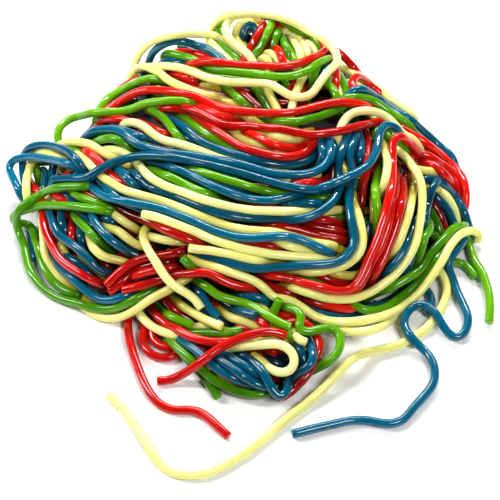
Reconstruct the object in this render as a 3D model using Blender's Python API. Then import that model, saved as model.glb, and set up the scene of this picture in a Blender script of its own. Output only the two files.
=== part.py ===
"""Heap of candy laces: a mound of soft round laces, with the laces that show fused to its core.

One solid that rests on its flat underside. +X is to the right, -Y is the front and +Z is up.
"""

import math

import bmesh
import bpy
from mathutils import Vector

MM = 0.001

LACE_RADIUS = 2.25 * MM
LACE_RESOLUTION = 1
ROUTE_STEP = 11 * MM
CURVE_STEP = 1 * MM

# Height of the middle of a lace that lies on the table.
TABLE_REST = 2.4 * MM

# Routes on the front side are read along one line of sight, as points of a 500 by 500 picture.
VIEW_TILT = math.radians(50)
VIEW_DISTANCE = 800 * MM
VIEW_TARGET = Vector((4.5 * MM, -3 * MM, 0))
PICTURE_MIDDLE = 250
PICTURE_POINT = 0.53 * MM
SIGHT_STEP = 0.5 * MM
SIGHT_TOP = 90 * MM

# A lace that bows over the far edge may stand this far off the heap.
ARCH_GAP = 22 * MM

# The mound: its middle, its height, and its reach every 30 degrees from +X.
MOUND_CENTRE = Vector((4.5 * MM, 35 * MM))
MOUND_HEIGHT = 60 * MM
MOUND_REACH_MM = (114, 100, 104, 110, 105, 104, 116, 122, 106, 94, 102, 117)
DOME_ROUNDNESS = 2.6
DOME_STEEPNESS = 0.6

# The smaller lump that slid down at the front, and how sharply it meets the mound.
LUMP_CENTRE = Vector((12.5 * MM, -73 * MM))
LUMP_REACH = Vector((46 * MM, 32 * MM))
LUMP_HEIGHT = 24 * MM
JOIN_SHARPNESS = 3

# The knot of loops at the top of the far side.
KNOT_CENTRE = Vector((10.5 * MM, 115 * MM))
KNOT_REACH = Vector((40 * MM, 24 * MM))
KNOT_RISE = 12 * MM

# Tangled laces leave the surface lumpy.
LUMPINESS = 2.5 * MM
LUMP_SPACING = 42 * MM

# The core lies under the outermost laces.
CORE_DEPTH = 3.4 * MM
CORE_SHARE = 0.965
CORE_RIM = 0.6 * MM
CORE_DIRECTIONS = 36
CORE_RINGS = 9

# Sheaves of laces side by side: the route of the first, the route of the last, and how many.
SHEAVES = {
    "middle": (
        [(112, 131), (176, 154), (264, 172), (308, 168), (322, 150), (322, 128)],
        [(143, 214), (226, 244), (292, 257), (338, 262), (360, 235), (362, 140)],
        5,
    ),
    "upper": (
        [(98, 112), (154, 90), (222, 108), (303, 110), (350, 103)],
        [(150, 60), (205, 60), (260, 68), (300, 64), (327, 53)],
        4,
    ),
    "right": (
        [(336, 50), (390, 100), (431, 142), (462, 190), (462, 228)],
        [(350, 112), (385, 116), (418, 150), (428, 190), (425, 232)],
        4,
    ),
    "turn": (
        [(376, 133), (376, 190), (366, 240), (340, 267), (280, 266)],
        [(408, 160), (422, 208), (400, 270), (352, 298), (276, 285)],
        4,
    ),
    "foot": (
        [(464, 227), (425, 263), (376, 293), (320, 290), (250, 281)],
        [(476, 241), (431, 285), (384, 316), (314, 316), (240, 276)],
        2,
    ),
    "left": (
        [(43, 206), (51, 242), (84, 275), (123, 290)],
        [(90, 185), (100, 230), (137, 255), (190, 262)],
        4,
    ),
    "front": (
        [(108, 286), (130, 265), (160, 255), (194, 250)],
        [(123, 292), (190, 275), (226, 284), (268, 294)],
        2,
    ),
    "lump": (
        [(146, 302), (185, 336), (240, 341), (284, 345)],
        [(166, 332), (208, 375), (258, 395), (285, 390)],
        4,
    ),
}

# Single laces that shape the outline or lie loose on the table.
SINGLES = {
    "top_ring": [(190, 71), (250, 83), (302, 98), (327, 73), (322, 38), (272, 16), (234, 14), (212, 32)],
    "top_arch": [(133, 68), (150, 43), (185, 34), (236, 50), (256, 72)],
    "left_edge": [(104, 192), (60, 188), (17, 218), (28, 264), (58, 297), (106, 309), (148, 291)],
    "left_loop": [(82, 172), (56, 161), (14, 160), (12, 176), (25, 199)],
    "left_arc": [(88, 176), (57, 147), (30, 148), (25, 182), (28, 198)],
    "left_bow": [(59, 145), (60, 127), (86, 115), (138, 108), (184, 103)],
    "front_end": [(140, 280), (128, 312), (131, 346), (143, 380), (161, 405), (190, 410), (228, 436)],
    "front_hook": [(150, 322), (143, 343), (160, 358), (180, 350)],
    "front_stub": [(285, 336), (248, 336), (201, 362), (158, 381)],
    "front_curl": [(299, 324), (318, 330), (340, 336), (331, 360), (316, 366)],
    "long_sweep": [
        (438, 268), (447, 294), (418, 335), (366, 353), (322, 390), (266, 436),
        (208, 473), (173, 473), (141, 434), (109, 395),
    ],
    "long_curl": [
        (447, 262), (463, 304), (466, 330), (449, 334), (422, 305), (404, 316),
        (420, 347), (435, 370), (413, 408), (388, 424), (334, 424), (293, 434),
    ],
    "right_end": [(465, 238), (476, 264), (489, 294), (489, 322)],
}

# Laces round the far side: first direction, last direction, and share of the mound's reach.
FAR_ARCS = (
    (12, 96, 0.98),
    (84, 168, 0.98),
    (30, 150, 0.93),
    (25, 110, 0.86),
    (92, 172, 0.86),
    (50, 135, 0.76),
)
FAR_ARC_POINTS = 9


def clear_scene():
    for item in list(bpy.data.objects):
        bpy.data.objects.remove(item, do_unlink=True)


def candy_material():
    material = bpy.data.materials.new("candy_jelly")
    material.use_nodes = True
    shader = material.node_tree.nodes["Principled BSDF"]
    shader.inputs["Base Color"].default_value = (0.6, 0.03, 0.02, 1)
    shader.inputs["Roughness"].default_value = 0.22
    shader.inputs["Metallic"].default_value = 0
    return material


def mound_reach(direction):
    """How far the mound reaches in a direction, eased between its named reaches."""
    count = len(MOUND_REACH_MM)
    place = direction / (2 * math.pi) * count
    first = math.floor(place)
    ease = place - first
    ease = ease * ease * (3 - 2 * ease)
    here = MOUND_REACH_MM[first % count]
    after = MOUND_REACH_MM[(first + 1) % count]
    return (here + (after - here) * ease) * MM


def dome(share):
    """Height of a dome of height one, at a share of its reach."""
    return max(0, 1 - share**DOME_ROUNDNESS) ** DOME_STEEPNESS


def oval_share(place, centre, reach):
    return math.hypot((place.x - centre.x) / reach.x, (place.y - centre.y) / reach.y)


def heap_height(x, y):
    """Height of the outside of the heap above the table, or about zero beside it."""
    place = Vector((x, y))
    arm = place - MOUND_CENTRE
    mound = MOUND_HEIGHT * dome(arm.length / mound_reach(math.atan2(arm.y, arm.x)))
    lump = LUMP_HEIGHT * dome(oval_share(place, LUMP_CENTRE, LUMP_REACH))
    height = (mound**JOIN_SHARPNESS + lump**JOIN_SHARPNESS) ** (1 / JOIN_SHARPNESS)
    fade = min(1, height / LUMP_HEIGHT)
    knot = KNOT_RISE * max(0, 1 - oval_share(place, KNOT_CENTRE, KNOT_REACH) ** 2)
    wave = 2 * math.pi / LUMP_SPACING
    lumpiness = LUMPINESS * math.sin(wave * x) * math.sin(wave * y)
    return height + (knot + lumpiness) * fade


def lace_height(x, y):
    """Height of the middle of a lace that lies on the heap or the table there."""
    return max(heap_height(x, y) - LACE_RADIUS, TABLE_REST)


def seen_point(picture_x, picture_y):
    """The place on a lace's middle line that shows at a point of the picture."""
    back = Vector((0, -math.cos(VIEW_TILT), math.sin(VIEW_TILT)))
    above = Vector((0, math.sin(VIEW_TILT), math.cos(VIEW_TILT)))
    right = (picture_x - PICTURE_MIDDLE) * PICTURE_POINT
    up = (PICTURE_MIDDLE - picture_y) * PICTURE_POINT
    eye = VIEW_TARGET + back * VIEW_DISTANCE
    sight = (VIEW_TARGET + Vector((right, 0, 0)) + above * up - eye).normalized()
    length = (eye.z - SIGHT_TOP) / -sight.z
    table_length = (eye.z - TABLE_REST) / -sight.z
    arch = None
    least_gap = ARCH_GAP
    while length < table_length:
        place = eye + sight * length
        gap = place.z - lace_height(place.x, place.y)
        if gap <= 0:
            return place
        if gap < least_gap and heap_height(place.x, place.y) > TABLE_REST:
            least_gap = gap
            arch = place
        length += SIGHT_STEP
    return arch or eye + sight * table_length


def curve_point(before, start, end, after, t):
    """A point of the smooth curve from start to end, with its neighbours on either side."""
    slope = (end - before) * t
    bend = (before * 2 - start * 5 + end * 4 - after) * t**2
    turn = (start * 3 - before - end * 3 + after) * t**3
    return start + (slope + bend + turn) / 2


def smooth_route(points):
    """Even steps along a smooth curve through the points, no lower than the table."""
    ends = [points[0] * 2 - points[1], *points, points[-1] * 2 - points[-2]]
    fine = []
    for before, start, end, after in zip(ends, ends[1:], ends[2:], ends[3:]):
        count = max(2, round((end - start).length / CURVE_STEP))
        fine += [curve_point(before, start, end, after, step / count) for step in range(count)]
    fine.append(points[-1])
    for place in fine:
        place.z = max(place.z, TABLE_REST)
    route = [fine[0]]
    gone = 0
    for start, end in zip(fine, fine[1:]):
        gone += (end - start).length
        if gone >= ROUTE_STEP:
            route.append(end)
            gone = 0
    if gone > ROUTE_STEP / 2:
        route.append(fine[-1])
    else:
        route[-1] = fine[-1]
    return route


def picture_route(points):
    """A lace through points of the picture, each on the heap or the table."""
    return smooth_route([seen_point(x, y) for x, y in points])


def between(first, last, share):
    """The points at a share of the way from one route to another."""
    return [tuple(a + (b - a) * share for a, b in zip(*pair)) for pair in zip(first, last)]


def far_route(start, end, share):
    """A lace on the far side, at a share of the mound's reach."""
    points = []
    for number in range(FAR_ARC_POINTS):
        direction = math.radians(start + (end - start) * number / (FAR_ARC_POINTS - 1))
        reach = mound_reach(direction) * share
        x = MOUND_CENTRE.x + reach * math.cos(direction)
        y = MOUND_CENTRE.y + reach * math.sin(direction)
        points.append(Vector((x, y, lace_height(x, y))))
    return smooth_route(points)


def make_lace(name, route, collection):
    """A round tube along the route, as a closed mesh."""
    data = bpy.data.curves.new(name, "CURVE")
    data.dimensions = "3D"
    data.bevel_depth = LACE_RADIUS
    data.bevel_resolution = LACE_RESOLUTION
    data.use_fill_caps = True
    spline = data.splines.new("POLY")
    spline.points.add(len(route) - 1)
    for point, place in zip(spline.points, route):
        point.co = (*place, 1)
    curve = bpy.data.objects.new(name, data)
    collection.objects.link(curve)
    depsgraph = bpy.context.evaluated_depsgraph_get()
    mesh = bpy.data.meshes.new_from_object(curve.evaluated_get(depsgraph))
    work = bmesh.new()
    work.from_mesh(mesh)
    bmesh.ops.remove_doubles(work, verts=work.verts, dist=0.01 * MM)
    bmesh.ops.recalc_face_normals(work, faces=work.faces)
    work.to_mesh(mesh)
    work.free()
    tube = bpy.data.objects.new(name + "_tube", mesh)
    tube.matrix_world = curve.matrix_world
    bpy.data.objects.remove(curve)
    collection.objects.link(tube)


def core_reach(direction):
    """How far the core reaches, out over the lump at the front."""
    reach = mound_reach(direction) * CORE_SHARE
    step = Vector((math.cos(direction), math.sin(direction)))
    while heap_height(*(MOUND_CENTRE + step * (reach + LACE_RADIUS))) > 3 * CORE_DEPTH:
        reach += CURVE_STEP
    return reach


def make_core(name, collection):
    """The inside of the heap: rings under its surface, closed by a flat underside."""
    work = bmesh.new()
    rings = []
    for ring in range(1, CORE_RINGS + 1):
        share = math.sin(math.pi / 2 * ring / CORE_RINGS)
        row = []
        for turn in range(CORE_DIRECTIONS):
            direction = 2 * math.pi * turn / CORE_DIRECTIONS
            reach = core_reach(direction) * share
            x = MOUND_CENTRE.x + reach * math.cos(direction)
            y = MOUND_CENTRE.y + reach * math.sin(direction)
            row.append(work.verts.new((x, y, max(heap_height(x, y) - CORE_DEPTH, CORE_RIM))))
        rings.append(row)
    top = work.verts.new((*MOUND_CENTRE, heap_height(*MOUND_CENTRE) - CORE_DEPTH))
    foot = [work.verts.new((v.co.x, v.co.y, 0)) for v in rings[-1]]
    rings.append(foot)
    for turn in range(CORE_DIRECTIONS):
        after = (turn + 1) % CORE_DIRECTIONS
        work.faces.new((top, rings[0][turn], rings[0][after]))
        for inner, outer in zip(rings, rings[1:]):
            work.faces.new((inner[turn], outer[turn], outer[after], inner[after]))
    work.faces.new(reversed(foot))
    bmesh.ops.recalc_face_normals(work, faces=work.faces)
    mesh = bpy.data.meshes.new(name)
    work.to_mesh(mesh)
    work.free()
    core = bpy.data.objects.new(name, mesh)
    collection.objects.link(core)
    return core


def connected_bodies(work):
    """The separate bodies of a mesh, as sets of its corners, smallest first."""
    left = set(work.verts)
    bodies = []
    while left:
        edge = {left.pop()}
        body = set(edge)
        while edge:
            edge = {e.other_vert(v) for v in edge for e in v.link_edges} & left
            left -= edge
            body |= edge
        bodies.append(body)
    return sorted(bodies, key=len)


def fuse(core, laces):
    """Joins the laces to the core, and drops sealed hollows and loose scraps."""
    union = core.modifiers.new("fuse", "BOOLEAN")
    union.operation = "UNION"
    union.operand_type = "COLLECTION"
    union.collection = laces
    union.solver = "MANIFOLD"
    depsgraph = bpy.context.evaluated_depsgraph_get()
    mesh = bpy.data.meshes.new_from_object(core.evaluated_get(depsgraph))
    core.modifiers.remove(union)
    core.data = mesh
    for item in list(laces.objects):
        bpy.data.objects.remove(item)
    bpy.data.collections.remove(laces)
    work = bmesh.new()
    work.from_mesh(mesh)
    scraps = [v for body in connected_bodies(work)[:-1] for v in body]
    bmesh.ops.delete(work, geom=scraps, context="VERTS")
    work.to_mesh(mesh)
    work.free()


def main():
    clear_scene()
    heap = bpy.data.collections.new("candy_laces")
    laces = bpy.data.collections.new("laces_to_fuse")
    bpy.context.scene.collection.children.link(heap)
    bpy.context.scene.collection.children.link(laces)
    core = make_core("laces", heap)
    for name, (first, last, count) in SHEAVES.items():
        for number in range(count):
            points = between(first, last, number / (count - 1))
            make_lace(f"{name}_{number}", picture_route(points), laces)
    for name, points in SINGLES.items():
        make_lace(name, picture_route(points), laces)
    for number, (start, end, share) in enumerate(FAR_ARCS):
        make_lace(f"far_{number}", far_route(start, end, share), laces)
    fuse(core, laces)
    core.data.materials.clear()
    core.data.materials.append(candy_material())


main()
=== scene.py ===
import math
import random

import bpy
import numpy as np
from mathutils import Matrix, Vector, kdtree


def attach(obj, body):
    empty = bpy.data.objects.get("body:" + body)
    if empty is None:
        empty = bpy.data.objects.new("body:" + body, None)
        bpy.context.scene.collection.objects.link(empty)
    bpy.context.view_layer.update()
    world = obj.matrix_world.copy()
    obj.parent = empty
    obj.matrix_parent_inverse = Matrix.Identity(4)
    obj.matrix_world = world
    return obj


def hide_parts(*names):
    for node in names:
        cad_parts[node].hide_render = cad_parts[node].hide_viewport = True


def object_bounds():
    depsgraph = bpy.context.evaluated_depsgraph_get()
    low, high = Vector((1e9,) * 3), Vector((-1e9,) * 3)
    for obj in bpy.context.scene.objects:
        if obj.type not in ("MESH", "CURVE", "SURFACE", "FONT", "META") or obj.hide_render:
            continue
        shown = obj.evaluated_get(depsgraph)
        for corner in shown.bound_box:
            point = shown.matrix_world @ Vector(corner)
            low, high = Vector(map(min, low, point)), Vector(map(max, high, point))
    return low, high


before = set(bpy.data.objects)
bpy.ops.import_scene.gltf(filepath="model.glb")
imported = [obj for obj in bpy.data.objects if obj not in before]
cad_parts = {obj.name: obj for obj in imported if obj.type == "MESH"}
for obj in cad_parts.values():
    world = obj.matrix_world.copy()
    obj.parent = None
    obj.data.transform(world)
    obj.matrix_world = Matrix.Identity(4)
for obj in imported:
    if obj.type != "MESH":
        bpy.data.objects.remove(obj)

# A heap of soft candy laces on a white table. Lengths are in millimetres until a mesh is made.
millimetre = 0.001
cadLow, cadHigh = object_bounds()

lace = {
    "radius": 2.25,
    "tableRest": 2.4,        # height of the middle of a lace on the table
    "sides": 12,
    "step": 2.0,             # between the rings of a lace
    "unevenness": 0.03,      # share of the radius
    "unevenLength": 34,
    "waves": ((1, 1), (2.3, 0.6), (5.1, 0.5)),  # pace and strength of each wave of the unevenness
    "cutRim": 0.5,           # rounding of a cut end
    "rimRings": ((1, 0.78), (0.7, 0.93)),       # share of the rim and of the radius, from the tip
    "sharpAngle": 55,
    # painted shade: a lace this far down in the heap is painted fully in its shade colour
    "shadeDepth": 9,         # a lace this far down in the heap has the colour of the shade
    "patternShift": 900,     # each lace starts somewhere else in its pattern
}

# Where the laces run, as points across and down the 500 by 500 picture. A letter starts
# a lace and gives its colour, and a later lace lies over an earlier one. After the letter stands
# "<" where the first point is a free end, ">" where the last one is, "_" where the lace lies deeper,
# and "^" for no new lace, but a stretch of one that is named already, raised over all laces up to here.
topKnot = [
    "r 176,52 190,53 205,58 220,66",
    "g 212,47 224,50 234,58 243,70",
    "g 172,57 190,60 210,64 230,70",
    "y 206,36 216,46 228,58 240,72",
    "b 147,67 152,54 160,46 172,41 186,42 200,47 212,53 222,61 232,72",
    "y 133,68 139,54 150,43 165,37 185,34 205,36 222,41 236,50 246,60 256,72",
    "g< 222,22 217,30 222,40",
    "b 240,46 243,34 250,25 257,31 258,45",
    "g 276,32 273,45 270,60",
    "y 248,19 239,26 236,37 241,50 250,62",
    "y 262,60 268,53 276,57 281,68",
    "y 256,68 262,60 267,62 270,72",
    "r 284,70 278,58 272,48",
    "g 284,44 290,54 296,68",
    "g 280,36 286,47 291,62",
    "y 284,37 293,43 299,52 302,66",
    "y 276,33 288,33 298,41 305,52 310,64",
    "y 306,41 312,49 317,60",
    "g 262,18 276,20 290,27 303,36 314,46 322,58",
    "r 263,25 258,36 251,48 246,58 243,68",
    "g 274,23 268,33 263,45 256,56 249,66",
    "y 262,24 252,18 240,15 229,19 225,29 230,40 240,51 249,61 257,72",
    "r 316,44 323,48 330,56 340,70",
]
ridge = [
    "r 336,50 346,59 354,69 362,80",
    "y 338,64 350,73 363,78 377,88 391,99 403,108 415,119",
    "r 352,100 351,86 355,77 363,79 372,88 384,98",
    "g 340,78 345,90 350,104",
    "y 329,76 337,87 345,100",
    "g 323,74 331,88 338,102",
    "r 333,66 336,76 334,90",
]
ringInside = [
    "y 308,72 300,82 295,95 291,112",
    "r 312,80 306,90 300,104",
    "g 318,68 312,80 308,94",
    "g 283,74 288,86 286,98",
    "r 296,80 290,90 282,100",
    "y 262,82 269,94 276,110",
    "g 252,84 261,96 269,112",
    "r 228,82 240,92 252,104 262,116",
    "g 198,80 216,86 234,96 250,108",
    "y 200,83 220,88 234,93",
    "r 176,76 190,80 204,85",
]
topBand = [
    "g 168,57 185,60 205,66 230,72 255,76 285,77 303,73 317,66 332,60",
    "r 184,67 205,65 230,65 255,67 280,68 300,64 315,58 327,53 324,47 316,44",
    "y 128,72 140,68 155,66 172,67 190,71 208,78 228,82 250,83 269,84 280,90 291,97 302,98 312,94 319,84",
    "    327,73 337,62 334,50 322,38 306,30 290,22 272,16 252,14 234,14 220,20 212,32",
    "y 132,74 140,67 150,68 160,76 173,83 190,90 208,97 226,104 240,112",
]
upperLeft = [
    "r 108,100 122,88 140,78",
    "g 98,112 106,100 118,92 134,84 154,78 172,82",
    "r 96,128 101,122 110,120 120,121 132,125",
    "r 180,102 200,108 222,117 246,124",
    "g 240,118 262,121 290,122 308,120 324,115 338,109 345,104",
    "y 232,112 248,118 264,125",
    "g_ 172,112 188,120 204,131 220,142 238,153 256,160",
    "b_ 160,110 172,119 186,131 202,143 220,151 242,157 264,163 284,165 302,162 314,155 321,147 324,139",
    "y 222,126 240,134 258,142 276,150",
    "y 256,128 272,135 290,139 306,137",
    "r 222,122 240,130 256,137 272,144 288,148 302,146 312,138",
    "r 158,110 176,109 192,114 208,125 224,136 240,146 258,152 274,156 290,157 304,154 313,146 317,134",
    "g 140,104 152,109 163,117 172,129 184,142 194,152",
    "r 150,128 165,134 178,140",
    "g 59,145 57,136 60,127 70,119 86,115 104,113 122,112 138,108 152,104 168,102 184,103 200,106",
    "r 100,116 112,107 124,99 138,92 154,90 172,92 188,97 204,103 222,108 242,111 264,113 286,113 303,110",
    "    318,106 334,103 350,103 364,105 378,111 392,119 406,129 420,141 433,152 445,163 455,175 462,188",
    "    464,201 462,214 460,226",
    "r 170,108 188,110 204,117 220,124 240,127 264,129 290,131 314,134 338,133 354,129 368,125 377,124",
    "    386,129",
]
ridgeOver = [
    "g 338,99 350,98 362,99 372,103 382,109 394,117 405,126 417,137",
    "b 348,101 354,93 362,90 371,94 381,101 391,108 401,115 411,122 421,130 431,139 439,149 445,158",
    "    451,170",
    "y 341,160 337,149 337,138 340,128 344,121 351,114 362,111 374,112 385,118 396,128 408,141 418,150",
    "    428,156",
    "r^ 314,134 326,134 338,133 350,130",
]
rightInside = [
    "b 319,139 323,148 325,157 322,168",
    "b 336,137 333,145 334,152 330,162",
    "y 340,156 342,165 345,176 346,190",
    "b_ 350,130 352,145 353,160 350,178",
    "b_ 357,128 361,143 358,157 354,168 352,182",
    "r 367,126 369,142 367,158 365,174 362,190 360,206 362,222",
    "g_ 352,168 355,182 352,196 356,212",
    "y 374,205 372,220 369,236 371,250",
    "b 366,214 367,232 365,250 360,262",
    "g 380,128 388,142 391,160",
    "b 380,124 390,128 398,138",
    "r 404,160 405,176 403,194 400,210 394,230",
    "r 410,150 408,166 404,182",
    "r_ 300,216 320,220 338,222 350,224",
    "r_ 296,223 318,228 336,232 350,236",
    "r_ 262,224 284,227 304,230 324,235 342,240 350,244",
    "r_ 286,182 304,184 322,182 334,176",
    "g_ 296,197 316,199 332,199 344,203",
    "b 270,203 296,205 320,205 340,206",
]
middleBand = [
    "b 208,184 226,189 244,195 262,199",
    "g 184,169 204,173 226,180 248,187 270,192 290,195 308,193",
    "g 146,170 160,174 174,179 188,187 203,194 219,200",
    "b 112,128 126,132 140,138 154,145 168,152",
    "b 108,152 124,156 140,160 156,165",
    "g 92,144 104,139 118,139 132,146 146,152",
    "b 80,143 89,135 100,131 112,130 122,133 131,140 142,147 158,151 176,154 198,157 222,161 244,166",
    "    264,172 284,175 303,175 317,171 327,163 331,152 330,143 328,137",
    "y 119,129 127,124 138,124 147,129 155,136 166,141 180,144 195,149 209,154 224,159 240,164 254,169",
    "b^ 196,157 222,161 244,166 264,172 284,175",
    "b^ 214,149 220,151 242,157 264,163 284,165",
    "b 144,161 160,164 176,169 192,176 208,184 224,191 240,197 256,200 272,201 288,199 304,194 322,188",
    "    340,181 356,173 368,165 375,155 378,143 380,133 385,127 393,130 400,140",
    "b< 54,180 70,179 84,179 94,174 104,168 117,162 131,158 146,155 162,156 180,159 200,163 220,167",
    "    240,172 260,178 280,184 298,188 316,191 332,190 344,184",
    "b 131,170 140,178 151,186 165,192 180,197 198,204 216,211 236,216 260,219 284,220 302,218 316,214",
    "    328,206 336,196 341,184 338,172 337,160 341,149 348,138 354,128",
    "y 118,168 129,166 138,165 145,173 154,181 168,188 184,193 200,199 218,205 238,209 260,212 284,213",
    "    306,213 328,213 343,212 356,211",
    "b^ 302,218 316,214 328,206 336,196 341,184",
    "g 60,152 76,153 90,158 104,166",
    "r 80,150 92,156 102,164 112,173 124,182 138,192",
    "b 106,166 118,174 132,184 146,194",
    "y 100,151 113,150 124,152 134,159 142,168",
    "y 56,151 63,146 73,143 86,145 98,150 110,156 120,160",
    "b 78,180 90,187 102,194 116,199 132,203 147,206 163,210 180,215 196,222 212,229 230,235 250,238",
    "    270,237 288,238 304,241 318,247 330,252 342,255",
    "r_ 222,239 244,243 264,245 284,249 300,254",
    "y 262,240 276,242 292,247 310,252 328,256 342,258",
    "y 76,152 86,161 96,172 106,181 120,189 136,194 154,199 170,204 186,211 204,219 224,226 244,230",
    "    262,232 282,234 304,239 326,246 346,252",
    "r^ 262,224 284,227 304,230 324,235 342,240",
    "r 112,200 120,208 130,216 144,221 160,227 176,234 192,241 210,246",
    "b^ 226,234 250,238 270,237 288,238 304,241 318,247 330,252",
    "y< 190,247 206,250 226,255 246,259 266,261 286,262",
    "y< 143,214 156,217 172,223 190,230 208,238 226,244 248,250 270,253 292,256 314,258 334,260",
]
frontSweep = [
    "r_ 262,288 282,291 302,299 324,305 346,307 366,301",
    "b 296,278 312,284 330,290 345,292",
    "g 280,270 300,276 320,284 336,290",
    "r_ 250,281 268,286 284,290 300,296",
    "y 306,268 322,272 336,276 350,278 362,274 369,264",
    "r_ 298,270 316,276 334,282 350,285 362,281",
    "b 296,300 312,311 330,317 348,318 364,312 376,304",
    "b 352,304 370,307 388,301 404,291 414,280",
    "b 404,276 410,264 414,252 416,238",
    "r 246,270 266,274 286,278 306,284 326,289 344,291 357,288 365,277 373,263 381,248 387,232 391,214",
    "    394,198 396,182 398,168",
    "y 414,170 412,184 411,200 408,216 402,232 395,248 386,262",
    "b 412,234 405,248 396,262 384,275 370,287",
    "r 398,172 401,188 400,204 397,220 393,236 386,252 378,266 369,280 361,292",
    "y^ 413,177 412,184 411,200 408,216 402,232",
    "g 381,158 377,172 375,188 377,204 378,220 376,234 371,246 364,258",
    "y 380,136 386,148 388,163 387,178 383,192 380,204",
    "y 350,188 353,199 357,212 361,226 363,240 360,252 351,261 339,267 322,270 300,271 280,271",
    "b 188,254 203,257 220,261 238,265 258,268 280,267 302,266 322,265 337,263 348,256 354,244 353,228",
    "    350,212 349,196 352,182 351,168 348,154 352,140 358,130",
    "b^ 322,188 340,181 356,173",
]
rightSide = [
    "b 430,206 434,222 438,238 434,252",
    "g 429,208 434,222 441,236 448,250",
    "g 428,224 436,236 446,246",
    "r 428,200 437,212 444,226 450,240",
    "b 429,190 440,201 449,214 456,230",
    "y 436,190 446,199 453,212 457,228",
    "g 428,216 425,232 421,248 418,266 412,280",
    "b 416,186 426,181 436,181 447,187 456,198 462,212 464,228",
    "y 404,164 416,171 430,171 442,177 452,187 458,198",
    "r 414,160 426,168 438,176 449,185 455,193",
    "r 408,160 414,155 424,156 436,164 447,174 455,186 459,199",
    "b 438,181 431,188 428,200 426,214 424,230",
    "r 424,164 414,153 407,142 400,136 393,140 391,152 392,168 391,184 388,200 384,216 380,232 375,246",
    "    368,260 361,276 352,288 338,291 320,287 300,283 280,277",
    "y^ 384,143 386,148 388,163 387,178 384,190",
    "y 392,146 399,154 409,164 418,175 422,190 422,208 419,226 414,244 406,260 395,274 382,285 366,294",
    "    348,298 328,297 310,292 292,286 276,279",
]
rightEdge = [
    "g 456,232 446,244 437,258 428,271 418,284 406,294 392,303 378,309 364,310 352,305 344,298",
    "y 332,320 344,330 360,332 376,329 389,321 399,311 410,300",
    "g 464,227 453,229 444,238 435,250 425,263 413,274 400,282 386,289 376,293",
    "y<> 476,241 479,234 470,231 459,235 449,246 441,260 431,275 420,288 408,301 398,310 384,316 366,320",
    "    348,322 330,321 314,316 300,307 286,301 273,298 266,290 256,282 242,276 226,270 208,265 187,258",
]
leftSide = [
    "y 30,155 45,153 60,156 74,163",
    "b 68,170 76,175 86,180",
    "r 28,180 36,190 44,202",
    "g 36,165 38,176 41,190",
    "b 36,170 42,168 47,176 47,190 44,204",
    "b 50,176 52,190 50,204",
    "b 88,176 81,163 71,153 57,147 42,145 30,148 24,156 23,166 25,182 28,198",
    "b 82,172 70,165 56,161 40,158 26,157 14,160 9,167 12,176 18,187 25,199",
    "y 34,160 30,168 27,180 27,192 29,204",
    "r 52,196 64,200 74,208",
    "g 66,192 84,198 102,205 120,211",
    "r_ 56,206 66,215 76,226",
    "b_ 62,210 64,226 70,240",
    "r_ 70,220 74,236 72,252",
    "b_ 80,226 84,242 90,256",
    "r_ 100,255 106,266 112,278",
    "y> 60,240 66,250 70,262",
    "b_ 60,254 76,262 90,274 100,288",
    "r_ 104,224 120,228 132,234 146,240",
    "r_ 120,206 128,222 134,238",
    "y 112,214 124,222 134,230",
    "b 100,208 112,220 124,234",
    "b 30,236 33,250 34,264",
    "y 90,228 92,240 96,250 105,257 118,260 132,264",
    "y 140,236 156,239 172,242 190,245",
    "g 72,206 79,218 87,229 97,240 109,248 122,254",
    "b 84,208 92,219 101,230 112,241 124,249 137,255 148,257",
    "y 104,226 116,229 126,237 137,245 150,247 160,243",
    "y 44,212 44,232 47,252 54,272 66,284 78,295 92,306 106,312",
    "b 48,246 57,264 70,276 83,288 96,298 112,300 128,295 142,288",
    "b 49,208 54,224 63,236 76,247 88,258 97,269 108,275 122,277",
    "r 43,206 45,224 51,242 59,256 70,266 84,275 97,282 110,286",
    "g 124,219 108,213 90,209 70,206 50,206 34,208 20,212 12,217 16,224 26,224 33,230 36,242 41,256 48,271",
    "    58,284 71,293 84,299",
    "g 104,192 88,187 74,186 60,188 46,193 33,200 22,208 17,218 19,232 25,248 28,264 34,277 44,289 58,297",
    "    74,301 90,307 106,309 120,306 134,299 148,291 160,285",
    "y 84,306 98,316 112,318 126,315 140,306 154,297 168,290 180,282 192,276",
]
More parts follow.
